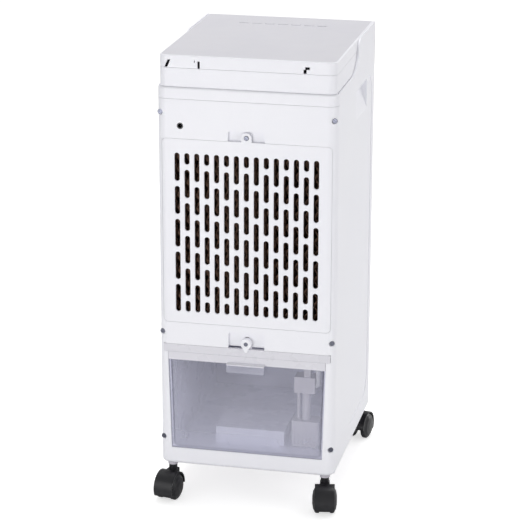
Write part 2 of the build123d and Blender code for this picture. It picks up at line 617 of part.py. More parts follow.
with BuildPart() as top_cover:
    plan_prism(head_half, head_front_y, head_rear_y, CORNER_R - HEAD_INSET, LID_Z, TOP_Z)
    rear_corners = top_cover.edges().filter_by(Axis.Z).group_by(Axis.Y)[0]
    fillet(rear_corners, 3.0)
    fillet(top_cover.edges().group_by(Axis.Z)[-1], 1.6)
    plan_prism(head_half - cover_skirt_t, head_front_y + cover_skirt_t, head_rear_y - cover_skirt_t,
               CORNER_R - HEAD_INSET - cover_skirt_t, LID_Z - 1, lid_inner_z, mode=Mode.SUBTRACT)
    plan_prism(head_half - panel_inset, head_front_y + panel_inset, head_rear_y - panel_inset,
               CORNER_R - HEAD_INSET - panel_inset, TOP_Z - PANEL_T, TOP_Z + 1, mode=Mode.SUBTRACT)
    with BuildSketch(Plane.XY.offset(lid_inner_z - 1)) as key_holes:
        for x in key_xs:
            with Locations((x, key_y)):
                RectangleRounded(KEY_W + 2 * KEY_GAP, KEY_D + 2 * KEY_GAP, 1.6 + KEY_GAP)
    extrude(key_holes.sketch, amount=8, mode=Mode.SUBTRACT)
    # hook notches in the rear skirt
    with BuildSketch(upright(head_rear_y + 1)) as notches:
        with BuildLine():
            Polyline((head_half - NOTCH_INSET, LID_Z + 0.5), (head_half - NOTCH_INSET - 4.5, LID_Z + 0.5),
                     (head_half - NOTCH_INSET - 9.0, LID_Z + 11.5), (head_half - NOTCH_INSET - 5.0, LID_Z + 11.5),
                     close=True)
        make_face()
        with Locations((69.5, LID_Z + 5.2)):
            Rectangle(3.4, 10.4)
        with Locations((75.5, LID_Z + 10.0)):
            Rectangle(1.1, 3.4)
        with Locations((-83.2, LID_Z + 3.4)):
            Rectangle(4.4, 6.0)
        with Locations((-86.6, LID_Z + 8.2)):
            Rectangle(6.6, 3.8)
    extrude(notches.sketch, amount=cover_skirt_t + 1.5, mode=Mode.SUBTRACT)
    for side in (-1, 1):
        for y in (key_y - 18, key_y + 18):
            rod_z(side * 78, y, lid_inner_z - 6, lid_inner_z + 0.5, 3.0)
save(top_cover.part, "top_cover")

with BuildPart() as top_panel:
    plan_prism(head_half - panel_inset - 0.1, head_front_y + panel_inset + 0.1,
               head_rear_y - panel_inset - 0.1, CORNER_R - HEAD_INSET - panel_inset - 0.1,
               TOP_Z - PANEL_T, TOP_Z)
    with BuildSketch(Plane.XY.offset(TOP_Z - PANEL_T - 1)) as key_holes:
        for x in key_xs:
            with Locations((x, key_y)):
                RectangleRounded(KEY_W + 2 * KEY_GAP, KEY_D + 2 * KEY_GAP, 1.6 + KEY_GAP)
    extrude(key_holes.sketch, amount=PANEL_T + 2, mode=Mode.SUBTRACT)
save(top_panel.part, "top_panel")

board_top_z = lid_inner_z - 6.0
plunger_top_z = board_top_z + 1.6
for number, x in enumerate(key_xs, start=1):
    with BuildPart() as key:
        with BuildSketch(Plane.XY.offset(lid_inner_z - SEAT)) as cap:
            with Locations((x, key_y)):
                RectangleRounded(KEY_W, KEY_D, 1.6)
        extrude(cap.sketch, amount=TOP_Z + KEY_PROUD - lid_inner_z + SEAT)
        fillet(key.edges().group_by(Axis.Z)[-1], 0.5)
        block((x - KEY_W / 2 - 1.5, x + KEY_W / 2 + 1.5), (key_y - KEY_D / 2 - 1.5, key_y + KEY_D / 2 + 1.5),
              (lid_inner_z - SEAT - 1.2, lid_inner_z - SEAT))
        rod_z(x, key_y, plunger_top_z + KEY_TRAVEL + 0.3, lid_inner_z - SEAT - 1.0, 1.6)
    save(key.part, f"button_{number}")

with BuildPart() as control_board:
    block((-84, 84), (key_y - 24, key_y + 24), (board_top_z - 1.6, board_top_z))
    for x in key_xs:
        block((x - 3, x + 3), (key_y - 3, key_y + 3), (board_top_z, board_top_z + 1.0))
        rod_z(x, key_y, board_top_z + 0.5, plunger_top_z, 1.7)
    block((-66, -46), (key_y + 8, key_y + 20), (board_top_z - 9, board_top_z - 1.6))
    block((-30, 34), (key_y - 20, key_y - 6), (board_top_z - 6, board_top_z - 1.6))
save(control_board.part, "control_board")

# ---------------------------------------------------------------- wet pack
divider_z = TANK_TOP_Z + DIVIDER_GAP
divider_top_z = divider_z + DIVIDER_T
divider_rear_y = side_rear_y - WALL - 0.1
cam_clear_y = REAR_Y - 14.5
frame_z = DOOR_Z + PAD_FOOT
frame_top_z = DOOR_TOP_Z - PAD_FOOT
frame_rear_y = ledge_back_y - 0.5
frame_front_y = frame_rear_y - PAD_T
hose_x = PAD_HALF + 8.0
hose_y = frame_front_y + 9.0
hose_r = 4.0
pump_x = -82.0
pump_y = 108.0
stalk_x = -84.0

with BuildPart() as tank_divider:
    block((-tray_half, tray_half), (panel_back_y + 0.1, divider_rear_y), (divider_z, divider_top_z))
    block((-PAD_HALF - 3, PAD_HALF + 3), (frame_front_y - 6, frame_front_y - 4),
          (divider_top_z, divider_top_z + TROUGH_H))
    for x in (-90, -60, -30, 0, 30, 60, 90):
        rod_z(x, frame_front_y + 12, divider_z - 1, divider_top_z + 1, 3.0, mode=Mode.SUBTRACT)
    rod_z(-100.0, hose_y, divider_z - 1, divider_top_z + 1, hose_r + 1.0, mode=Mode.SUBTRACT)
save(tank_divider.part, "tank_divider")

with BuildPart() as pad_frame:
    block((-PAD_HALF, PAD_HALF), (frame_front_y, frame_rear_y), (frame_z, frame_top_z))
    block((-PAD_HALF + FRAME_T, PAD_HALF - FRAME_T), (frame_front_y - 1, frame_rear_y + 1),
          (frame_z + FRAME_T, frame_top_z + 1), mode=Mode.SUBTRACT)
    for side in (-1, 1):
        for y0, y1 in ((frame_front_y, frame_front_y + 4), (frame_rear_y - 11, frame_rear_y - 8)):
            leg = sorted((side * PAD_HALF, side * (PAD_HALF - FRAME_T - 2)))
            block(leg, (y0, y1), (divider_top_z, frame_z + 1))
    for x in (-56, 0, 56):
        block((x - 1.5, x + 1.5), (frame_front_y, frame_front_y + 2), (frame_z, frame_top_z))
    block((-PAD_HALF, PAD_HALF), (frame_front_y, frame_front_y + 2),
          ((frame_z + frame_top_z) / 2 - 1.5, (frame_z + frame_top_z) / 2 + 1.5))
save(pad_frame.part, "pad_frame")

with BuildPart() as evaporative_pad:
    block((-PAD_HALF + FRAME_T + 0.1, PAD_HALF - FRAME_T - 0.1), (frame_front_y + 2.0, frame_rear_y - 0.5),
          (frame_z + FRAME_T, frame_top_z - 0.5))
save(evaporative_pad.part, "evaporative_pad")

feed_z = frame_top_z
with BuildPart() as water_distributor:
    block((-PAD_HALF, PAD_HALF), (frame_front_y, frame_rear_y - 9), (feed_z, feed_z + FEED_H))
    block((-PAD_HALF + 1.6, PAD_HALF - 1.6), (frame_front_y + 1.6, frame_rear_y - 10.6),
          (feed_z + 1.6, feed_z + FEED_H + 1), mode=Mode.SUBTRACT)
    for i in range(DRIP_COUNT):
        rod_z((i - (DRIP_COUNT - 1) / 2) * 16.5, (frame_front_y + frame_rear_y - 9) / 2, feed_z - 1,
              feed_z + 3, DRIP_R, mode=Mode.SUBTRACT)
    rod_x(hose_y, feed_z + 8.5, -PAD_HALF - 1, -PAD_HALF + 3, hose_r + 0.05, mode=Mode.SUBTRACT)
save(water_distributor.part, "water_distributor")

pump_z = tank_foot_z + TANK_WALL + 2.0
chamber_z = pump_z + 84.0
with BuildPart() as pump:
    block((pump_x - 21, pump_x + 21), (pump_y - 13, pump_y + 13), (pump_z, pump_z + 40))
    fillet(pump.edges().filter_by(Axis.Z), 4.0)
    for i in range(6):
        x = pump_x - 15 + 6 * i
        block((x - 1.2, x + 1.2), (pump_y + 11.5, pump_y + 14), (pump_z + 4, pump_z + 20), mode=Mode.SUBTRACT)
    rod_z(pump_x, pump_y, pump_z + 38, chamber_z + 1, 6.5)
    rod_z(pump_x + 12, pump_y, pump_z + 38, chamber_z + 1, 2.5)
    block((pump_x - 14, pump_x + 17), (pump_y - 11, pump_y + 11), (chamber_z, chamber_z + 25))
    block((stalk_x - 5, stalk_x + 5), (pump_y - 9, pump_y + 9), (chamber_z + 24, divider_z))
    block((stalk_x - 7, stalk_x + 22), (pump_y - 13, pump_y + 13), (divider_z - 2, divider_z))
    rod_x(hose_y, chamber_z + 12, pump_x - 19, pump_x - 12, hose_r - 1.2)
save(pump.part, "pump")

with BuildPart() as pump_hose:
    with BuildLine() as hose_path:
        FilletPolyline((pump_x - 14.2, hose_y, chamber_z + 12), (-100.0, hose_y, chamber_z + 12),
                       (-100.0, hose_y, divider_top_z + 14), (-hose_x, hose_y, divider_top_z + 14),
                       (-hose_x, hose_y, feed_z + 8.5), (-PAD_HALF + 1.5, hose_y, feed_z + 8.5), radius=3.7)
    with BuildSketch(Plane(origin=hose_path.line @ 0, z_dir=hose_path.line % 0)) as hose_ring:
        Circle(hose_r)
        Circle(hose_r - 1.2, mode=Mode.SUBTRACT)
    sweep(sections=hose_ring.sketch, path=hose_path.line)
save(pump_hose.part, "pump_hose")
# ---------------------------------------------------------------- fan
scroll_front_y = SCROLL_REAR_Y - FAN_L - 2 * FAN_SIDE_GAP - 2 * SCROLL_T
wheel_y0 = scroll_front_y + SCROLL_T + FAN_SIDE_GAP
wheel_y1 = wheel_y0 + FAN_L
duct_z = outlet_z - SLEEVE_T
duct_top_z = outlet_top_z + SLEEVE_T
scroll_radii = [SCROLL_R + i * SCROLL_STEP for i in range(4)]
tongue_x = FAN_X + 12.0


def scroll_outline(grow):
    """Volute round the wheel: three quarter arcs of growing radius, then straight up to the duct."""
    r1, r2, r3, r4 = [r + grow for r in scroll_radii]
    tongue = Line((tongue_x - grow, duct_z), (tongue_x - grow, FAN_Z + r1))
    start = Line(tongue @ 1, (FAN_X, FAN_Z + r1))
    left = EllipticalCenterArc((FAN_X, FAN_Z), r2, r1, start_angle=90, arc_size=90)
    foot = EllipticalCenterArc((FAN_X, FAN_Z), r2, r3, start_angle=180, arc_size=90)
    right = EllipticalCenterArc((FAN_X, FAN_Z), r4, r3, start_angle=270, arc_size=90)
    rise = Line((FAN_X + r4, FAN_Z), (FAN_X + r4, duct_z))
    Line(rise @ 1, tongue @ 0)
    return start, left, foot, right


with BuildPart() as fan_scroll:
    for grow, y0, y1, mode in ((SCROLL_T, SCROLL_REAR_Y, scroll_front_y, Mode.ADD),
                               (0.0, SCROLL_REAR_Y - SCROLL_T, scroll_front_y + SCROLL_T, Mode.SUBTRACT)):
        with BuildSketch(upright(y0)) as volute:
            with BuildLine():
                scroll_outline(grow)
            make_face()
        extrude(volute.sketch, amount=y0 - y1, mode=mode)
    block((tongue_x, FAN_X + scroll_radii[3]), (scroll_front_y + SCROLL_T, SCROLL_REAR_Y - SCROLL_T),
          (duct_z - 5, duct_z + 1), mode=Mode.SUBTRACT)
    rod_y(FAN_X, FAN_Z, SCROLL_REAR_Y - SCROLL_T, SCROLL_REAR_Y + 3, INLET_R + 3)
    rod_y(FAN_X, FAN_Z, SCROLL_REAR_Y - SCROLL_T - 1, SCROLL_REAR_Y + 4, INLET_R, mode=Mode.SUBTRACT)
    rod_y(FAN_X, FAN_Z, scroll_front_y - 1, scroll_front_y + SCROLL_T + 1, MOTOR_SHAFT_R + 4,
          mode=Mode.SUBTRACT)
    # feet on the floor of the air chamber
    for x in (FAN_X - 60, FAN_X + 60):
        block((x - 9, x + 9), (scroll_front_y, scroll_front_y + SCROLL_T), (divider_top_z, FAN_Z - 60))
        block((x - 9, x + 9), (scroll_front_y - 14, scroll_front_y + SCROLL_T),
              (divider_top_z, divider_top_z + SCROLL_T))
        block((x - 9, x + 9), (SCROLL_REAR_Y - SCROLL_T, SCROLL_REAR_Y), (divider_top_z, FAN_Z - 70))
save(fan_scroll.part, "fan_scroll")

duct_rear_y = SCROLL_REAR_Y
with BuildPart() as air_duct:
    with BuildSketch(sideways(-frame_x)) as outside:
        with BuildLine():
            shape = Polyline((sleeve_back_y, duct_z), (duct_rear_y, duct_z), (duct_rear_y, duct_top_z),
                             (sleeve_back_y, duct_top_z), close=True)
        make_face()
        rear_top = outside.vertices().group_by(Axis.X)[-1].sort_by(Axis.Y)[-1]
        fillet(rear_top, DUCT_R)
    extrude(outside.sketch, amount=2 * frame_x)
    with BuildSketch(sideways(-outlet_half)) as inside:
        with BuildLine():
            Polyline((sleeve_back_y - 1, outlet_z), (duct_rear_y - SLEEVE_T, outlet_z),
                     (duct_rear_y - SLEEVE_T, outlet_top_z), (sleeve_back_y - 1, outlet_top_z), close=True)
        make_face()
        rear_top = inside.vertices().group_by(Axis.X)[-1].sort_by(Axis.Y)[-1]
        fillet(rear_top, DUCT_R - SLEEVE_T)
    extrude(inside.sketch, amount=2 * outlet_half, mode=Mode.SUBTRACT)
    block((tongue_x, FAN_X + scroll_radii[3] - SLEEVE_T), (scroll_front_y + SCROLL_T, SCROLL_REAR_Y - SCROLL_T),
          (duct_z - 1, outlet_z + 1), mode=Mode.SUBTRACT)
save(air_duct.part, "air_duct")

with BuildPart() as fan_wheel:
    rod_y(FAN_X, FAN_Z, wheel_y0, wheel_y0 + 2.0, FAN_R)
    rod_y(FAN_X, FAN_Z, wheel_y0, wheel_y0 + 26, 13.0)
    with BuildSketch(upright(wheel_y1)) as ring:
        with Locations((FAN_X, FAN_Z)):
            Circle(FAN_R)
            Circle(FAN_R - BLADE_CHORD + 1, mode=Mode.SUBTRACT)
    extrude(ring.sketch, amount=2.5)
    with BuildSketch(upright(wheel_y1 - 1)) as blades:
        with Locations((FAN_X, FAN_Z)):
            with PolarLocations(FAN_R - BLADE_CHORD / 2, FAN_BLADES):
                Rectangle(BLADE_CHORD, BLADE_T, rotation=24)
        with Locations((FAN_X, FAN_Z)):
            Circle(FAN_R, mode=Mode.INTERSECT)
    extrude(blades.sketch, amount=FAN_L - 2)
    rod_y(FAN_X, FAN_Z, wheel_y0 - 1, wheel_y0 + 27, MOTOR_SHAFT_R, mode=Mode.SUBTRACT)
save(fan_wheel.part, "fan_wheel")

shaft_front_y = scroll_front_y - MOTOR_L + 8
with BuildPart() as motor_shaft:
    rod_y(FAN_X, FAN_Z, shaft_front_y, wheel_y0 + 26, MOTOR_SHAFT_R)
save(motor_shaft.part, "motor_shaft")

with BuildPart() as fan_motor:
    rod_y(FAN_X, FAN_Z, scroll_front_y - MOTOR_L, scroll_front_y, MOTOR_R)
    fillet(fan_motor.edges().group_by(Axis.Y)[0], 5.0)
    block((FAN_X - 58, FAN_X + 58), (scroll_front_y - 3, scroll_front_y), (FAN_Z - 9, FAN_Z + 9))
    rod_y(FAN_X, FAN_Z, shaft_front_y - 0.4, scroll_front_y + 1, MOTOR_SHAFT_R + RUN_FIT, mode=Mode.SUBTRACT)
save(fan_motor.part, "fan_motor")

# ---------------------------------------------------------------- water tank
tank_side_top = TANK_TOP_HALF - TANK_SIDE_STEP
tank_side_foot = face_foot_half - TANK_SIDE_STEP
face_t = 3.0
ear_y0 = recess_floor_y + SEAT
ear_y1 = ear_y0 + 2.4
ear_half = 7.6


def tank_section(grow, z_low):
    """Cross-section of the tank, narrower at the foot."""
    left = [(-tank_side_foot - grow, z_low), (-tank_side_top - grow, TANK_TOP_Z)]
    right = [(tank_side_top + grow, TANK_TOP_Z), (tank_side_foot + grow, z_low)]
    Polyline(*left, *right, close=True)


with BuildPart() as water_tank:
    with BuildSketch(upright(REAR_Y - 1.5)) as hull:
        with BuildLine():
            tank_section(0.0, tank_foot_z)
        make_face()
        fillet(hull.vertices().group_by(Axis.Y)[0], 7.0)
    extrude(hull.sketch, amount=TANK_L - 1.5)
    with BuildSketch(upright(REAR_Y - 1.5)) as face_plate:
        with BuildLine():
            tank_opening(0.0)
        make_face()
    extrude(face_plate.sketch, amount=face_t + 0.5)
    with BuildSketch(upright(REAR_Y)) as front:
        with BuildLine():
            tank_opening(0.0)
        make_face()
    extrude(front.sketch, amount=2.0)
    with BuildSketch(upright(REAR_Y - face_t - 0.3)) as hollow:
        with BuildLine():
            Polyline((-tank_side_foot + TANK_WALL, tank_foot_z + TANK_WALL),
                     (-tank_side_top + TANK_WALL, TANK_TOP_Z + 1), (tank_side_top - TANK_WALL, TANK_TOP_Z + 1),
                     (tank_side_foot - TANK_WALL, tank_foot_z + TANK_WALL), close=True)
        make_face()
        fillet(hollow.vertices().group_by(Axis.Y)[0], 7.0 - TANK_WALL)
    extrude(hollow.sketch, amount=TANK_L - face_t - 0.3 - TANK_WALL, mode=Mode.SUBTRACT)
    # lip block and band across the face
    block((-LIP_HALF, LIP_HALF), (REAR_Y - LIP_T, REAR_Y), (LIP_Z, TANK_TOP_Z))
    block((-TANK_TOP_HALF + 0.6, TANK_TOP_HALF - 0.6), (REAR_Y - 1, REAR_Y + BAND_FACE_T),
          (LIP_Z - BAND_FACE_H, LIP_Z - 0.3))
    # raised block in the floor
    block_y1 = REAR_Y - BLOCK_FROM_FACE
    block((-BLOCK_W / 2, BLOCK_W / 2), (block_y1 - BLOCK_L, block_y1),
          (tank_foot_z, tank_foot_z + TANK_WALL + BLOCK_H))
    block((-BLOCK_W / 2 + 2, BLOCK_W / 2 - 2), (block_y1 - BLOCK_L + 2, block_y1 - 2),
          (tank_foot_z - 1, tank_foot_z + BLOCK_H), mode=Mode.SUBTRACT)
    # finger pull under the band
    pull_top_z = LIP_Z - BAND_FACE_H
    with BuildSketch(sideways(-PULL_W / 2)) as pull:
        with BuildLine():
            Polyline((REAR_Y - 1, pull_top_z + 3), (REAR_Y + PULL_OUT - 1, pull_top_z + 1.0),
                     (REAR_Y + PULL_OUT, pull_top_z - PULL_DROP), (REAR_Y + PULL_OUT - PULL_T, pull_top_z - PULL_DROP),
                     (REAR_Y + PULL_OUT - PULL_T - 1, pull_top_z - 1.0), (REAR_Y - 1, pull_top_z + 0.6),
                     close=True)
        make_face()
    extrude(pull.sketch, amount=PULL_W)
    # ear that carries the latch
    block((-ear_half, ear_half), (ear_y0, ear_y1), (TANK_TOP_Z - 2, latch_z))
    rod_y(0, latch_z, ear_y0, ear_y1, ear_half)
    rod_y(0, latch_z, ear_y0 - 1, ear_y1 + 1, SHAFT_R + RUN_FIT, mode=Mode.SUBTRACT)
save(water_tank.part, "water_tank")

cam_y1 = recess_back_y - SEAT
knob_y0 = ear_y1 + 0.1
with BuildPart() as tank_latch:
    with BuildSketch(upright(knob_y0 + LATCH_T)) as knob:
        with Locations((0, latch_z)):
            Circle(LATCH_R)
    extrude(knob.sketch, amount=LATCH_T)
    with BuildSketch(upright(knob_y0 + LATCH_T)) as nose:
        with BuildLine():
            Polyline((-5.6, latch_z - 5.0), (-NOSE_TIP_W / 2, latch_z - NOSE_L), (NOSE_TIP_W / 2, latch_z - NOSE_L),
                     (5.6, latch_z - 5.0), close=True)
        make_face()
    extrude(nose.sketch, amount=knob_y0 + LATCH_T - REAR_Y - 0.4)
    fillet(tank_latch.faces().sort_by(Axis.Y)[-1].edges(), 0.8)
    rod_y(0, latch_z, cam_y1, knob_y0 + 0.5, SHAFT_R)
    rod_y(0, latch_z, knob_y0 + LATCH_T - 1.4, knob_y0 + LATCH_T + 1, 3.2, mode=Mode.SUBTRACT)
save(tank_latch.part, "tank_latch")

with BuildPart() as latch_cam:
    with BuildSketch(upright(cam_y1)) as cam:
        with Locations((0, latch_z)):
            SlotOverall(CAM_L, CAM_W, rotation=90)
    extrude(cam.sketch, amount=CAM_T)
save(latch_cam.part, "latch_cam")

screw_seat_y = knob_y0 + LATCH_T - 1.4
with BuildPart() as latch_screw:
    rod_y(0, latch_z, screw_seat_y, screw_seat_y + 1.8, 2.9)
    for turn in (45, 135):
        with Locations((0, screw_seat_y + 1.6, latch_z)):
            Box(3.6, 1.2, 0.8, rotation=(0, turn, 0), mode=Mode.SUBTRACT)
save(latch_screw.part, "latch_screw")

# ---------------------------------------------------------------- filter door
door_back_y = REAR_Y - DOOR_T
grille_back_y = REAR_Y - 2.8
door_mid_z = (DOOR_Z + DOOR_TOP_Z) / 2
grille_z = 418.0


def slot_spots():
    """Centres and lengths of the grille's slots: columns alternate long rows with half-step rows."""
    for i in range(SLOT_COLUMNS):
        x = (i - (SLOT_COLUMNS - 1) / 2) * SLOT_PITCH_X
        if i % 2 == 0:
            for j in range(SLOT_ROWS):
                yield x, grille_z + (j - (SLOT_ROWS - 1) / 2) * SLOT_PITCH_Z, SLOT_L
        else:
            for j in range(SLOT_ROWS - 1):
                yield x, grille_z + (j - (SLOT_ROWS - 2) / 2) * SLOT_PITCH_Z, SLOT_L
            reach = (SLOT_ROWS - 1) / 2 * SLOT_PITCH_Z + SLOT_L / 2 - SLOT_SHORT_L / 2
            yield x, grille_z + reach, SLOT_SHORT_L
            yield x, grille_z - reach, SLOT_SHORT_L


with BuildPart() as filter_door:
    with BuildSketch(upright(REAR_Y)) as leaf:
        with Locations((0, door_mid_z)):
            RectangleRounded(DOOR_W, DOOR_H, DOOR_R)
    extrude(leaf.sketch, amount=DOOR_T)
    with BuildSketch(upright(grille_back_y)) as back:
        with Locations((0, door_mid_z)):
            RectangleRounded(DOOR_W - 5, DOOR_H - 5, DOOR_R - 2.5)
    extrude(back.sketch, amount=DOOR_T, mode=Mode.SUBTRACT)
    plan_prism(HALF_X, REAR_Y - 2 * CORNER_R, REAR_Y, CORNER_R, DOOR_Z - 1, DOOR_TOP_Z + 1,
               mode=Mode.INTERSECT)
    rod_y(0, ear_z, REAR_Y - EAR_T, REAR_Y, EAR_R)
    block((-EAR_R, EAR_R), (REAR_Y - EAR_T, REAR_Y), (DOOR_TOP_Z - 3, ear_z))
    for side in (-1, 1):
        rod_y(side * PEG_X, DOOR_Z + LEDGE_W / 2, door_back_y - PEG_L, REAR_Y - 2, PEG_D / 2)
    with BuildSketch(upright(REAR_Y + 1)) as slots:
        for x, height, length in slot_spots():
            with Locations((x, height)):
                SlotOverall(length, SLOT_W, rotation=90)
    extrude(slots.sketch, amount=DOOR_T + 2, mode=Mode.SUBTRACT)
    rod_y(0, ear_z, REAR_Y - EAR_T - 1, REAR_Y + 1, SCREW_SHANK_R, mode=Mode.SUBTRACT)
    rod_y(0, ear_z, REAR_Y - 0.9, REAR_Y + 1, SCREW_HEAD_R + 0.3, mode=Mode.SUBTRACT)
save(filter_door.part, "filter_door")

with BuildPart() as door_screw:
    rod_y(0, ear_z, REAR_Y - 0.9, REAR_Y + 1.1, SCREW_HEAD_R)
    fillet(door_screw.edges().group_by(Axis.Y)[-1], 0.7)
    rod_y(0, ear_z, REAR_Y - 13, REAR_Y - 0.9, SCREW_SHANK_R)
    for turn in (45, 135):
        with Locations((0, REAR_Y + 0.9, ear_z)):
            Box(4.2, 1.4, 0.9, rotation=(0, turn, 0), mode=Mode.SUBTRACT)
save(door_screw.part, "door_screw")

# ---------------------------------------------------------------- casters
hood_r = WHEEL_R + HOOD_T + 1.0
stem_top_z = BASE_Z + STEM_L - 8
caster_names = {(-1, -1): "front_left", (1, -1): "front_right", (-1, 1): "rear_left", (1, 1): "rear_right"}
caster_turns = {(1, 1): REAR_RIGHT_TURN, (-1, 1): REAR_LEFT_TURN,
                (-1, -1): 180 + REAR_RIGHT_TURN, (1, -1): 180 + REAR_LEFT_TURN}


def caster_fork(place):
    """Hood, boss and stem of one caster, the swivel axis at the local origin and the trail along +Y."""
    with BuildPart(place) as fork:
        # hood between the wheels, open below and at the front
        with BuildSketch(sideways(-HOOD_HALF)) as hood:
            with Locations((CASTER_TRAIL, WHEEL_R)):
                Circle(hood_r)
            with Locations((CASTER_TRAIL, WHEEL_R)):
                Circle(WHEEL_R + 1.0, mode=Mode.SUBTRACT)
            with Locations((CASTER_TRAIL - hood_r, 0)):
                Rectangle(2 * hood_r, 2 * WHEEL_R - 1, mode=Mode.SUBTRACT)
            with Locations((CASTER_TRAIL, -hood_r / 2)):
                Rectangle(3 * hood_r, hood_r + 18, mode=Mode.SUBTRACT)
        extrude(hood.sketch, amount=2 * HOOD_HALF)
        # web in the middle that carries the axle
        with BuildSketch(sideways(-WHEEL_GAP / 2 + 0.6)) as web:
            with Locations((CASTER_TRAIL, WHEEL_R)):
                Circle(8.5)
            with BuildLine():
                Polyline((CASTER_TRAIL - 8, WHEEL_R), (-BOSS_R, 36), (-BOSS_R, 43), (CASTER_TRAIL + 4, 43),
                         (CASTER_TRAIL + 8, WHEEL_R), close=True)
            make_face()
        extrude(web.sketch, amount=WHEEL_GAP - 1.2)
        with Locations((0, 0, 43.5)):
            Cylinder(BOSS_R, 15)
        with Locations((0, 0, (46 + stem_top_z) / 2)):
            Cylinder(STEM_R, stem_top_z - 46)
        with Locations((0, CASTER_TRAIL, WHEEL_R)):
            Cylinder(AXLE_R + RUN_FIT, 40, rotation=(0, 90, 0), mode=Mode.SUBTRACT)
    return fork.part


def caster_wheels(place):
    """The two wheels of one caster on their axle."""
    with BuildPart(place) as wheels:
        for side in (-1, 1):
            inner = WHEEL_GAP / 2
            with BuildSketch(Plane.XZ.offset(-CASTER_TRAIL)) as profile:
                with BuildLine():
                    Polyline((side * inner, 0), (side * inner, WHEEL_R - 0.8), (side * (inner + 0.8), WHEEL_R),
                             (side * (inner + TREAD_W - 1.6), WHEEL_R), (side * (inner + TREAD_W), WHEEL_R - 1.6),
                             (side * (inner + TREAD_W + 0.6), WHEEL_R - 3.2),
                             (side * (inner + TREAD_W + 2.6), WHEEL_R - 6.5),
                             (side * (inner + TREAD_W + DOME), 6.0), (side * (inner + TREAD_W + DOME), 0),
                             close=True)
                make_face()
            with Locations((0, 0, 0)):
                revolve(profile.sketch.moved(Location((0, 0, 0))),
                        axis=Axis((0, CASTER_TRAIL, 0), (1, 0, 0)))
        with Locations((0, CASTER_TRAIL, 0)):
            Cylinder(AXLE_R, WHEEL_GAP + 4, rotation=(0, 90, 0))
    return wheels.part


for key_side, name in caster_names.items():
    spin = caster_turns[key_side]
    seat = Location((key_side[0] * caster_x, key_side[1] * caster_y, 0), (0, 0, spin))
    save(caster_fork(Plane.XY).moved(seat), f"caster_{name}")
    save(caster_wheels(Plane.XY).moved(seat * Location((0, 0, WHEEL_R))), f"caster_wheels_{name}")
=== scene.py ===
"""Studio scene of an upright evaporative air cooler on four twin-wheel casters.

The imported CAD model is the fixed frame. Every visible piece is either one of its nodes
with a finish, or a new surface that stands for a node and rides on the same body. All
lengths are in metres.
"""
from __future__ import annotations

import json
import logging
import math
from dataclasses import dataclass, field
from enum import Enum
from typing import Any, Iterable, Sequence

import bpy
import numpy as np
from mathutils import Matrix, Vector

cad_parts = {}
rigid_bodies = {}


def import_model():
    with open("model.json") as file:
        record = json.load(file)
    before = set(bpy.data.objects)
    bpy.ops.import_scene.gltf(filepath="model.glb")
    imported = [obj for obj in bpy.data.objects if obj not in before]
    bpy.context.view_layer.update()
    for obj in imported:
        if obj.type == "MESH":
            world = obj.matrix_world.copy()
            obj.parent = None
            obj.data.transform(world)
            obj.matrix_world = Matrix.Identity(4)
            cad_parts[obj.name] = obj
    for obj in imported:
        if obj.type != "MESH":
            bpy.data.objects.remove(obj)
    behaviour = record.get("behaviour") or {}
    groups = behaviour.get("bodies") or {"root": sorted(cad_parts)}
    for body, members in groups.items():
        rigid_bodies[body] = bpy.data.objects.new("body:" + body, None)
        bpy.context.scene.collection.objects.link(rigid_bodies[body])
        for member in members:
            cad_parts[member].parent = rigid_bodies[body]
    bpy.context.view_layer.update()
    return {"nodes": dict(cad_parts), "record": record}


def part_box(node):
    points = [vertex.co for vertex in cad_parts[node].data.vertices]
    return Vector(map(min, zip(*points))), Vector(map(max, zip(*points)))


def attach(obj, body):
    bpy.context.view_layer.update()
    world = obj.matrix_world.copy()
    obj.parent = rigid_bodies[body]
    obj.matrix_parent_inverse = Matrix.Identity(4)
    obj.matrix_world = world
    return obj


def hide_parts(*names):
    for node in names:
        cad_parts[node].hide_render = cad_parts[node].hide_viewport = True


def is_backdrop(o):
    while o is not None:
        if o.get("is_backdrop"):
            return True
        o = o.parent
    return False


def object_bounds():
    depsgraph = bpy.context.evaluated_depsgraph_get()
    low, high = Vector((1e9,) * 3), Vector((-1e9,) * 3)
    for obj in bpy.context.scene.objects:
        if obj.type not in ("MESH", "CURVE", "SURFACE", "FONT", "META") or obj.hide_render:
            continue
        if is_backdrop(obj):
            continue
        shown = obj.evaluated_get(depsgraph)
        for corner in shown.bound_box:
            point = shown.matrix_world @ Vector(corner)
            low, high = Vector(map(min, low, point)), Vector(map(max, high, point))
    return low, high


LOG = logging.getLogger("cooler")

Point = tuple[float, float, float]
Colour = tuple[float, float, float, float]
Tree = bpy.types.NodeTree
Node = bpy.types.Node
Socket = bpy.types.NodeSocket
Material = bpy.types.Material
Piece = bpy.types.Object

WHITE_LIGHT: Colour = (1.0, 1.0, 1.0, 1.0)

# The curve of display values: a straight foot, then a power.
DISPLAY_TOP = 255.0
FOOT_END = 0.04045
FOOT_SLOPE = 12.92
CURVE_OFFSET = 0.055
CURVE_POWER = 2.4


def tone(red: float, green: float, blue: float) -> Colour:
    """Turn display values from 0 to 255 into the linear colour that a shader reads.

    Args:
        red, green, blue: display values.

    Returns:
        The linear colour, opaque.
    """
    def linear(value: float) -> float:
        """Undo the curve: v / slope in its foot, above it ((v + a) / (1 + a)) ** p."""
        part = value / DISPLAY_TOP
        if part <= FOOT_END:
            return part / FOOT_SLOPE
        return ((part + CURVE_OFFSET) / (1.0 + CURVE_OFFSET)) ** CURVE_POWER
    return (linear(red), linear(green), linear(blue), 1.0)


# ---------------------------------------------------------------- shader nodes
class Blend(Enum):
    """What a mix node blends: its kind, its two inputs and its output.

    The node's sockets share names, so they are taken by place.
    """

    NUMBERS = ("FLOAT", 2, 3, 0)
    COLOURS = ("RGBA", 6, 7, 2)


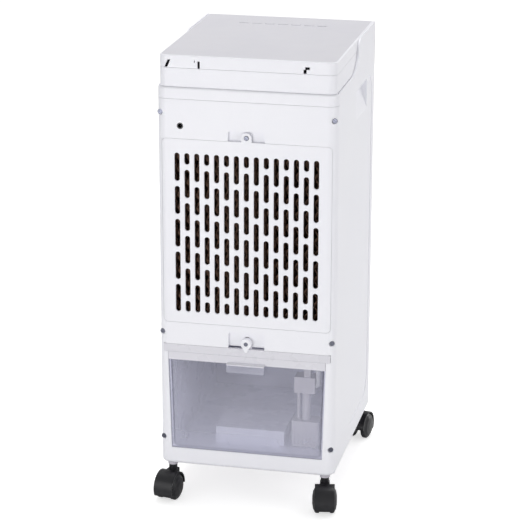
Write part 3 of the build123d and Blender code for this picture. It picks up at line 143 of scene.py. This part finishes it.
def feed(tree: Tree, socket: Socket, value: Socket | float | Colour) -> None:
    """Feed an input, by a link from a socket or with a value of its own.

    Args:
        tree: the tree that the input is in.
        socket: the input.
        value: a socket to link from, or the value.
    """
    if isinstance(value, Socket):
        tree.links.new(value, socket)
    else:
        socket.default_value = value


def maths(tree: Tree, kind: str, *terms: Socket | float) -> Socket:
    """Add a maths node.

    Args:
        tree: the tree that it goes into.
        kind: the operation.
        *terms: its inputs in order, sockets or numbers.

    Returns:
        The result.
    """
    node = tree.nodes.new("ShaderNodeMath")
    node.operation = kind
    for socket, value in zip(node.inputs, terms):
        feed(tree, socket, value)
    return node.outputs[0]


def carry(tree: Tree, value: Socket, source: Sequence[Socket | float] = (0.0, 1.0),
          target: Sequence[float] = (0.0, 1.0)) -> Socket:
    """Carry a value in a straight line from one range to another, and keep it there.

    Args:
        tree: the tree that the node goes into.
        value: the value.
        source: the two ends of its own range.
        target: what those two ends become.

    Returns:
        The carried value.
    """
    node = tree.nodes.new("ShaderNodeMapRange")
    names = ("From Min", "From Max", "To Min", "To Max")
    for name, end in zip(names, (*source, *target)):
        feed(tree, node.inputs[name], end)
    tree.links.new(value, node.inputs["Value"])
    return node.outputs["Result"]


def mix(tree: Tree, what: Blend, share: Socket, first: Socket | Colour,
        second: Socket | Colour) -> Socket:
    """Mix two colours or two numbers.

    Args:
        tree: the tree that the node goes into.
        what: whether they are colours or numbers.
        share: the share of the second, from 0 to 1.
        first: what shows where the share is 0.
        second: what shows where the share is 1.

    Returns:
        The mixture.
    """
    kind, low, high, out = what.value
    node = tree.nodes.new("ShaderNodeMix")
    node.data_type = kind
    tree.links.new(share, node.inputs[0])
    feed(tree, node.inputs[low], first)
    feed(tree, node.inputs[high], second)
    return node.outputs[out]


# ---------------------------------------------------------------- shared shader groups
class Groups(Enum):
    """The shared shader groups, by the name that each has in the file."""

    MOTTLE = "colour_mottle"
    HAZE = "roughness_haze"
    GRAIN = "spark_grain"
    DUST = "settled_dust"


@dataclass
class ShaderShelf:
    """Builds each shared node group once and hands it to every finish that asks.

    A detail is a noise's number of octaves, and a middle is the part of a noise's
    values that is stretched to the whole range from 0 to 1.
    """

    built: dict[Groups, Tree] = field(default_factory=dict)
    noise_rough: float = 0.55
    middle: tuple[float, float] = (0.3, 0.7)
    mottle_detail: float = 3.0
    haze_detail: float = 4.0
    grain_detail: float = 2.0
    dust_detail: float = 5.0
    dust_scale: float = 120.0
    dust_middle: tuple[float, float] = (0.35, 0.75)

    def get(self, which: Groups) -> Tree:
        """Give a group, building it the first time.

        Args:
            which: the group wanted.

        Returns:
            The node group.
        """
        if which not in self.built:
            maker = {Groups.MOTTLE: self._mottle, Groups.HAZE: self._haze,
                     Groups.GRAIN: self._grain, Groups.DUST: self._dust}[which]
            self.built[which] = maker()
        return self.built[which]

    @staticmethod
    def _empty(which: Groups, inputs: dict[str, str],
               outputs: dict[str, str]) -> tuple[Tree, Node, Node]:
        """Make a group with its sockets.

        Args:
            which: the group.
            inputs: what each input carries, by its name.
            outputs: what each output carries, by its name.

        Returns:
            The group, its input node and its output node.
        """
        tree = bpy.data.node_groups.new(which.value, "ShaderNodeTree")
        for way, sockets in (("INPUT", inputs), ("OUTPUT", outputs)):
            for name, carried in sockets.items():
                tree.interface.new_socket(name=name, in_out=way,
                                          socket_type=f"NodeSocket{carried}")
        start = tree.nodes.new("NodeGroupInput")
        return tree, start, tree.nodes.new("NodeGroupOutput")

    def _noise(self, tree: Tree, vector: Socket, scale: Socket | float,
               detail: float) -> Socket:
        """Add a noise texture on a vector.

        Args:
            tree: the tree that it goes into.
            vector: where the pattern is read.
            scale: a socket or a number for the scale.
            detail: octaves of detail.

        Returns:
            The noise value.
        """
        noise = tree.nodes.new("ShaderNodeTexNoise")
        noise.inputs["Detail"].default_value = detail
        noise.inputs["Roughness"].default_value = self.noise_rough
        tree.links.new(vector, noise.inputs["Vector"])
        feed(tree, noise.inputs["Scale"], scale)
        return noise.outputs["Fac"]

    def _mottle(self) -> Tree:
        """Mix two colours by soft noise, for the flow marks in a moulding.

        Returns:
            The group.
        """
        tree, start, end = self._empty(
            Groups.MOTTLE,
            {"Vector": "Vector", "Colour": "Color", "Second": "Color",
             "Scale": "Float"},
            {"Colour": "Color"})
        value = self._noise(tree, start.outputs["Vector"], start.outputs["Scale"],
                            self.mottle_detail)
        colour = mix(tree, Blend.COLOURS, carry(tree, value, self.middle),
                     start.outputs["Colour"], start.outputs["Second"])
        tree.links.new(colour, end.inputs["Colour"])
        return tree

    def _haze(self) -> Tree:
        """Let a roughness wander between two values, as handling leaves it.

        Returns:
            The group.
        """
        tree, start, end = self._empty(
            Groups.HAZE,
            {"Vector": "Vector", "Low": "Float", "High": "Float", "Scale": "Float"},
            {"Roughness": "Float"})
        value = self._noise(tree, start.outputs["Vector"], start.outputs["Scale"],
                            self.haze_detail)
        rough = mix(tree, Blend.NUMBERS, carry(tree, value, self.middle),
                    start.outputs["Low"], start.outputs["High"])
        tree.links.new(rough, end.inputs["Roughness"])
        return tree

    def _grain(self) -> Tree:
        """Give the fine pitted grain of a spark-eroded mould, as a height in metres.

        Returns:
            The group.
        """
        tree, start, end = self._empty(
            Groups.GRAIN,
            {"Vector": "Vector", "Scale": "Float", "Depth": "Float"},
            {"Height": "Float"})
        value = self._noise(tree, start.outputs["Vector"], start.outputs["Scale"],
                            self.grain_detail)
        height = maths(tree, "MULTIPLY", value, start.outputs["Depth"])
        tree.links.new(height, end.inputs["Height"])
        return tree

    def _dust(self) -> Tree:
        """Mask dust that lies thickest near the floor, broken up by noise.

        The mask is fade times noise times amount, and the fade falls from 1 on the
        floor to 0 at the height named top.

        Returns:
            The group.
        """
        tree, start, end = self._empty(
            Groups.DUST,
            {"Vector": "Vector", "Top": "Float", "Amount": "Float"},
            {"Mask": "Float"})
        split = tree.nodes.new("ShaderNodeSeparateXYZ")
        tree.links.new(start.outputs["Vector"], split.inputs[0])
        fade = carry(tree, split.outputs["Z"], (0.0, start.outputs["Top"]), (1.0, 0.0))
        value = self._noise(tree, start.outputs["Vector"], self.dust_scale,
                            self.dust_detail)
        broken = maths(tree, "MULTIPLY", fade, carry(tree, value, self.dust_middle))
        mask = maths(tree, "MULTIPLY", broken, start.outputs["Amount"])
        tree.links.new(mask, end.inputs["Mask"])
        return tree


# ---------------------------------------------------------------- finishes
@dataclass(frozen=True)
class Finish:
    """A finish of the cooler: a moulded or plated surface with colour, haze and grain.

    The grain's height is in metres, so the bump's distance is 1.
    """

    name: str
    colour: Colour
    second: Colour
    rough_low: float
    rough_high: float
    metallic: float = 0.0
    coat: float = 0.0
    coat_rough: float = 0.08
    mottle_scale: float = 14.0
    haze_scale: float = 30.0
    grain_scale: float = 1400.0
    grain_depth: float = 0.00002
    bump: float = 0.3
    bump_distance: float = 1.0
    specular: float = 0.5

    def _group(self, tree: Tree, shelf: ShaderShelf, which: Groups, vector: Socket,
               values: dict[str, Colour | float]) -> Node:
        """Place a shared group in this finish's tree.

        Args:
            tree: the material's tree.
            shelf: the shared groups.
            which: the group.
            vector: where its pattern is read.
            values: its other inputs.

        Returns:
            The group node.
        """
        node = tree.nodes.new("ShaderNodeGroup")
        node.node_tree = shelf.get(which)
        tree.links.new(vector, node.inputs["Vector"])
        for key, value in values.items():
            node.inputs[key].default_value = value
        return node

    def make(self, shelf: ShaderShelf) -> Material:
        """Build the material.

        Args:
            shelf: the shared groups.

        Returns:
            The material.
        """
        material = bpy.data.materials.new(self.name)
        material.use_nodes = True
        tree = material.node_tree
        shader = tree.nodes["Principled BSDF"]
        vector = tree.nodes.new("ShaderNodeTexCoord").outputs["Object"]
        shader.inputs["Metallic"].default_value = self.metallic
        shader.inputs["Coat Weight"].default_value = self.coat
        shader.inputs["Coat Roughness"].default_value = self.coat_rough
        shader.inputs["Specular IOR Level"].default_value = self.specular
        mottle = self._group(tree, shelf, Groups.MOTTLE, vector,
                             {"Colour": self.colour, "Second": self.second,
                              "Scale": self.mottle_scale})
        colour = self.tint(tree, shelf, vector, mottle.outputs["Colour"])
        tree.links.new(colour, shader.inputs["Base Color"])
        haze = self._group(tree, shelf, Groups.HAZE, vector,
                           {"Low": self.rough_low, "High": self.rough_high,
                            "Scale": self.haze_scale})
        tree.links.new(haze.outputs["Roughness"], shader.inputs["Roughness"])
        grain = self._group(tree, shelf, Groups.GRAIN, vector,
                            {"Scale": self.grain_scale, "Depth": self.grain_depth})
        bump = tree.nodes.new("ShaderNodeBump")
        bump.inputs["Strength"].default_value = self.bump
        bump.inputs["Distance"].default_value = self.bump_distance
        tree.links.new(grain.outputs["Height"], bump.inputs["Height"])
        tree.links.new(bump.outputs["Normal"], shader.inputs["Normal"])
        return material

    def tint(self, tree: Tree, shelf: ShaderShelf, vector: Socket,
             colour: Socket) -> Socket:
        """Leave the colour as it is; a finish with more on it changes it here."""
        return colour


@dataclass(frozen=True)
class DustyFinish(Finish):
    """A dark finish near the floor, with pale dust settled on it."""

    dust: Colour = tone(96, 94, 96)
    dust_top: float = 0.05
    dust_amount: float = 0.10

    def tint(self, tree: Tree, shelf: ShaderShelf, vector: Socket,
             colour: Socket) -> Socket:
        """Mix the dust over the colour.

        Args:
            tree: the material's tree.
            shelf: the shared groups.
            vector: where the patterns are read.
            colour: the colour so far.

        Returns:
            The dusted colour.
        """
        dusted = self._group(tree, shelf, Groups.DUST, vector,
                             {"Top": self.dust_top, "Amount": self.dust_amount})
        return mix(tree, Blend.COLOURS, dusted.outputs["Mask"], colour, self.dust)


@dataclass(frozen=True)
class TankFinish(Finish):
    """The tank's moulding: a clearer window in its face, frosted walls, a whitish rim.

    The face is what lies past face_y, the rim what lies past rim_y and above rim_z.
    The window grows milkier downwards, from window_alpha at the rim to foot_alpha at
    foot_z.
    """

    rim: Colour = tone(232, 231, 238)
    face_y: float = 0.1480
    rim_z: float = 0.2232
    rim_y: float = 0.1400
    window_alpha: float = 0.15
    foot_alpha: float = 0.31
    foot_z: float = 0.0860
    wall_alpha: float = 0.92
    rim_alpha: float = 0.93
    soft: float = 0.0006

    def _past(self, tree: Tree, value: Socket, edge: float) -> Socket:
        """Give a mask that is 1 where a value has passed an edge, with a soft step.

        Args:
            tree: the material's tree.
            value: the value.
            edge: where the step lies.

        Returns:
            The mask.
        """
        return carry(tree, value, (edge - self.soft, edge + self.soft))

    def make(self, shelf: ShaderShelf) -> Material:
        """Build the material, with alpha by the place on the tank.

        Alpha is the walls' own, plus the window's mask times how far the milky value
        lies from it, plus the rim's mask times how far the rim's lies from it.

        Args:
            shelf: the shared groups.

        Returns:
            The material.
        """
        material = super().make(shelf)
        tree = material.node_tree
        shader = tree.nodes["Principled BSDF"]
        split = tree.nodes.new("ShaderNodeSeparateXYZ")
        place = tree.nodes.new("ShaderNodeTexCoord").outputs["Object"]
        tree.links.new(place, split.inputs[0])
        depth, height = split.outputs["Y"], split.outputs["Z"]
        above = self._past(tree, height, self.rim_z)
        rim = maths(tree, "MULTIPLY", above, self._past(tree, depth, self.rim_y))
        below = maths(tree, "SUBTRACT", 1.0, above)
        window = maths(tree, "MULTIPLY", below, self._past(tree, depth, self.face_y))
        milky = carry(tree, height, (self.foot_z, self.rim_z),
                      (self.foot_alpha - self.wall_alpha,
                       self.window_alpha - self.wall_alpha))
        walls = maths(tree, "MULTIPLY_ADD", window, milky, self.wall_alpha)
        alpha = maths(tree, "MULTIPLY_ADD", rim, self.rim_alpha - self.wall_alpha,
                      walls)
        tree.links.new(alpha, shader.inputs["Alpha"])
        plain = shader.inputs["Base Color"].links[0].from_socket
        tree.links.new(mix(tree, Blend.COLOURS, rim, plain, self.rim),
                       shader.inputs["Base Color"])
        return material


class Finishes(Enum):
    """Every finish of the cooler, named by the record's material slots."""

    WHITE = Finish("white_abs", tone(247, 247, 252), tone(245, 245, 251), 0.36, 0.40,
                   mottle_scale=5.0, haze_scale=7.0, grain_depth=0.000002, bump=0.6,
                   specular=0.38)
    # This grey is painted shade: the lid's top is the same white plastic as the rest, made
    # greyer so that the top reads darker, as it does where less light falls on it.
    PANEL = Finish("grey_panel", tone(222, 221, 227), tone(219, 218, 225), 0.33, 0.40,
                   grain_scale=900.0, grain_depth=0.000006, bump=0.8)
    GLOSS = Finish("black_gloss", tone(20, 20, 22), tone(26, 26, 29), 0.08, 0.14,
                   coat=0.6)
    TANK = TankFinish("clear_tank", tone(233, 233, 250), tone(229, 230, 248), 0.24,
                      0.32, mottle_scale=9.0, grain_scale=500.0, grain_depth=0.000004)
    PAD = Finish("pad_fibre", tone(132, 102, 84), tone(84, 62, 50), 0.85, 0.95,
                 mottle_scale=160.0, grain_scale=700.0, grain_depth=0.0003, bump=0.8)
    BLACK = DustyFinish("black_plastic", tone(30, 30, 34), tone(24, 24, 28), 0.26, 0.34,
                        grain_scale=900.0, grain_depth=0.00001, bump=0.7)
    INNER = Finish("inner_grey", tone(203, 199, 208), tone(197, 193, 203), 0.4, 0.5,
                   grain_depth=0.000004)
    # The steel's dark tone is partly the screws' own bluish grey and partly painted shade
    # of the screw pits, which the heads nearly fill.
    STEEL = Finish("steel", tone(124, 126, 138), tone(96, 98, 110), 0.25, 0.4,
                   metallic=1.0, haze_scale=400.0)
    MOTOR = Finish("motor_steel", tone(96, 97, 102), tone(84, 85, 90), 0.35, 0.5)
    BOARD = Finish("board_green", tone(40, 92, 62), tone(34, 80, 54), 0.35, 0.45)
    HOSE = Finish("hose_rubber", tone(214, 214, 219), tone(206, 206, 212), 0.4, 0.5)


@dataclass
class PaintBox:
    """Keeps one built material for each finish."""

    shelf: ShaderShelf = field(default_factory=ShaderShelf)
    made: dict[Finishes, Material] = field(default_factory=dict)

    def get(self, finish: Finishes) -> Material:
        """Give a finish's material, building it the first time.

        Args:
            finish: the finish.

        Returns:
            The material.
        """
        if finish not in self.made:
            self.made[finish] = finish.value.make(self.shelf)
        return self.made[finish]

    def by_slot(self, slot: str) -> Material:
        """Give the material of a record's slot.

        Args:
            slot: the slot's name.

        Returns:
            The material.
        """
        for finish in Finishes:
            if finish.value.name == slot:
                return self.get(finish)
        raise KeyError(slot)


# ---------------------------------------------------------------- meshes
def grid_mesh(name: str, points: np.ndarray) -> Piece:
    """Make an object from a grid of points.

    Neighbouring points (u, v), (u+1, v), (u+1, v+1), (u, v+1) make one face.

    Args:
        name: the object's name.
        points: array of shape (u, v, 3).

    Returns:
        The linked object, smooth shaded.
    """
    index = np.arange(points.shape[0] * points.shape[1]).reshape(points.shape[:2])
    corners = [index[:-1, :-1], index[1:, :-1], index[1:, 1:], index[:-1, 1:]]
    faces = np.stack(corners, axis=-1).reshape(-1, 4)
    mesh = bpy.data.meshes.new(name)
    mesh.from_pydata(points.reshape(-1, 3).tolist(), [], faces.tolist())
    mesh.polygons.foreach_set("use_smooth", np.ones(len(faces), bool))
    mesh.update()
    piece = bpy.data.objects.new(name, mesh)
    bpy.context.scene.collection.objects.link(piece)
    return piece


def join(parts: Sequence[Piece], name: str) -> Piece:
    """Join meshes into the first one and name it.

    Args:
        parts: the objects.
        name: the new name.

    Returns:
        The joined object.
    """
    first = parts[0]
    with bpy.context.temp_override(active_object=first,
                                   selected_editable_objects=list(parts)):
        bpy.ops.object.join()
    first.name = name
    first.data.name = name
    return first


def dress(piece: Piece, material: Material) -> None:
    """Give every face of a piece one material."""
    piece.data.materials.clear()
    piece.data.materials.append(material)


# ---------------------------------------------------------------- sub-assemblies
@dataclass
class Cabinet:
    """The CAD nodes that keep their shape and only get a finish."""

    nodes: dict[str, Piece]
    record: dict[str, Any]

    def dress(self, paints: PaintBox, skipped: Iterable[str]) -> int:
        """Give each node the material of its slot.

        Args:
            paints: the materials.
            skipped: nodes that another piece stands for.

        Returns:
            How many nodes were dressed.
        """
        slots = {entry["node"]: entry["material_slot"]
                 for entry in self.record["subparts"]}
        left_out = set(skipped)
        shown = [name for name in self.nodes if name not in left_out]
        for name in shown:
            dress(self.nodes[name], paints.by_slot(slots[name]))
        return len(shown)


@dataclass
class WetPad:
    """The cellulose pad: upright corrugated sheets, their flutes slanting in turn."""

    sheets: int = 32
    wave: float = 0.0135
    slant_deg: float = 45.0
    sheet_t: float = 0.0006
    depth_steps: int = 9
    height_steps: int = 96

    def build(self, paints: PaintBox) -> Piece:
        """Make the pad in the place of its CAD block.

        Sheet i lies at x = x_i + a sin(k (z cos s + d y sin s)), where d is +1 on even
        sheets and -1 on odd ones, s is the slant, a is just under half the spacing and
        k is 2 pi over the wave length.

        Args:
            paints: the materials.

        Returns:
            The pad.
        """
        low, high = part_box("evaporative_pad")
        spacing = (high.x - low.x) / self.sheets
        reach = spacing / 2 - self.sheet_t
        slant = math.radians(self.slant_deg)
        number = np.arange(self.sheets)[:, None, None]
        depth = np.linspace(low.y, high.y, self.depth_steps)[None, :, None]
        height = np.linspace(low.z, high.z, self.height_steps)[None, None, :]
        lean = np.where(number % 2 == 0, 1.0, -1.0)
        along = height * math.cos(slant) + lean * depth * math.sin(slant)
        middle = low.x + spacing * (number + 0.5)
        across = middle + reach * np.sin(2 * math.pi / self.wave * along)
        points = np.stack(np.broadcast_arrays(across, depth, height), axis=-1)
        parts = [grid_mesh(f"pad_sheet_{i}", points[i]) for i in range(self.sheets)]
        pad = join(parts, "corrugated_pad")
        solid = pad.modifiers.new("paper", "SOLIDIFY")
        solid.thickness = self.sheet_t
        solid.offset = 0.0
        dress(pad, paints.get(Finishes.PAD))
        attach(pad, "cabinet")
        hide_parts("evaporative_pad")
        return pad


# ---------------------------------------------------------------- studio
MID_CABINET: Point = (0.0, 0.0, 0.35)
TANK_FACE: Point = (0.0, 0.1, 0.16)
LID: Point = (0.0, 0.0, 0.6)


@dataclass(frozen=True)
class Lamp:
    """A square soft lamp: where it stands, what it looks at, its side and its watts."""

    name: str
    at: Point
    aim: Point
    side: float
    power: float

    def build(self) -> None:
        """Make the lamp and turn its face to its aim.

        It tilts from straight down by the angle between the upright and the line back
        from the aim, and turns about the upright to that line's heading.
        """
        data = bpy.data.lights.new(self.name, "AREA")
        data.shape = "SQUARE"
        data.size = self.side
        data.energy = self.power
        back = np.array(self.at) - np.array(self.aim)
        tilt = math.atan2(math.hypot(back[0], back[1]), back[2])
        piece = bpy.data.objects.new(self.name, data)
        piece.location = self.at
        piece.rotation_euler = (tilt, 0.0, math.atan2(back[0], -back[1]))
        bpy.context.scene.collection.objects.link(piece)


@dataclass
class Studio:
    """Camera, soft lamps, floor and backdrop."""

    camera_at: Point = (-0.65489, 3.01659, 1.32788)
    camera_turn: Point = (1.2577085, -0.0025867, -2.9251717)
    lens_mm: float = 145.787
    sensor_mm: float = 36.0
    clip_end: float = 200.0
    world_light: float = 0.48
    floor_half: float = 30.0
    floor_colour: Colour = (0.82, 0.82, 0.82, 1.0)
    floor_rough: float = 0.9
    floor_glow: float = 0.62
    lamps: tuple[Lamp, ...] = (
        Lamp("key_lamp", (1.7, 3.1, 1.0), MID_CABINET, 2.6, 16.5),
        Lamp("side_lamp", (-2.7, 1.3, 0.7), MID_CABINET, 0.9, 13.0),
        Lamp("tank_lamp", (0.55, 2.3, 0.22), TANK_FACE, 0.5, 9.5),
        Lamp("front_lamp", (-2.2, -2.8, 1.1), MID_CABINET, 1.4, 26.0),
        Lamp("top_lamp", (0.1, -0.7, 3.0), LID, 1.2, 33.0),
    )

    def camera(self) -> None:
        """Make the camera."""
        data = bpy.data.cameras.new("camera")
        data.lens = self.lens_mm
        data.sensor_width = self.sensor_mm
        data.clip_end = self.clip_end
        piece = bpy.data.objects.new("camera", data)
        piece.location = self.camera_at
        piece.rotation_euler = self.camera_turn
        bpy.context.scene.collection.objects.link(piece)
        bpy.context.scene.camera = piece

    def world(self) -> None:
        """Make white surroundings: full white to the camera, softer as light."""
        world = bpy.data.worlds.new("studio")
        bpy.context.scene.world = world
        world.use_nodes = True
        tree = world.node_tree
        tree.nodes.clear()
        path = tree.nodes.new("ShaderNodeLightPath")
        seen = maths(tree, "MAXIMUM", path.outputs["Is Camera Ray"],
                     path.outputs["Is Transmission Ray"])
        back = tree.nodes.new("ShaderNodeBackground")
        back.inputs["Color"].default_value = WHITE_LIGHT
        tree.links.new(carry(tree, seen, target=(self.world_light, 1.0)),
                       back.inputs["Strength"])
        end = tree.nodes.new("ShaderNodeOutputWorld")
        tree.links.new(back.outputs[0], end.inputs["Surface"])

    def floor(self) -> None:
        """Make a wide pale floor that keeps the shadow and reads as white."""
        half = self.floor_half
        corners = np.array([[[-half, -half, 0.0], [-half, half, 0.0]],
                            [[half, -half, 0.0], [half, half, 0.0]]])
        piece = grid_mesh("floor", corners)
        material = bpy.data.materials.new("floor")
        material.use_nodes = True
        tree = material.node_tree
        shader = tree.nodes["Principled BSDF"]
        shader.inputs["Base Color"].default_value = self.floor_colour
        shader.inputs["Roughness"].default_value = self.floor_rough
        shader.inputs["Specular IOR Level"].default_value = 0.0
        shader.inputs["Emission Color"].default_value = WHITE_LIGHT
        path = tree.nodes.new("ShaderNodeLightPath")
        tree.links.new(carry(tree, path.outputs["Is Camera Ray"],
                             target=(0.0, self.floor_glow)),
                       shader.inputs["Emission Strength"])
        dress(piece, material)
        piece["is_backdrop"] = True

    def build(self) -> None:
        """Make everything in the studio."""
        self.camera()
        self.world()
        self.floor()
        for lamp in self.lamps:
            lamp.build()
        bpy.context.scene.view_settings.view_transform = "Standard"


def write_sizes(after: Any) -> None:
    """Define a helper that turns a box's corners into plain lists; nothing is written.

    Args:
        after: the corners of the visual model's box; not used.
    """
    def plain(box: Any) -> list[list[float]]:
        """Give a box's corners as lists of numbers."""
        return [[float(value) for value in corner] for corner in box]


def main() -> None:
    """Build the scene in order and report each piece."""
    logging.basicConfig(level=logging.INFO, format="%(name)s: %(message)s")
    # What stands in an untouched scene goes first.
    for piece in list(bpy.data.objects):
        bpy.data.objects.remove(piece)
    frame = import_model()
    paints = PaintBox()
    Studio().build()
    pad = WetPad().build(paints)
    LOG.info("pad: %d faces", len(pad.data.polygons))
    count = Cabinet(frame["nodes"], frame["record"]).dress(paints, ["evaporative_pad"])
    LOG.info("dressed %d nodes", count)
    write_sizes(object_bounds())


if __name__ == "__main__":
    main()
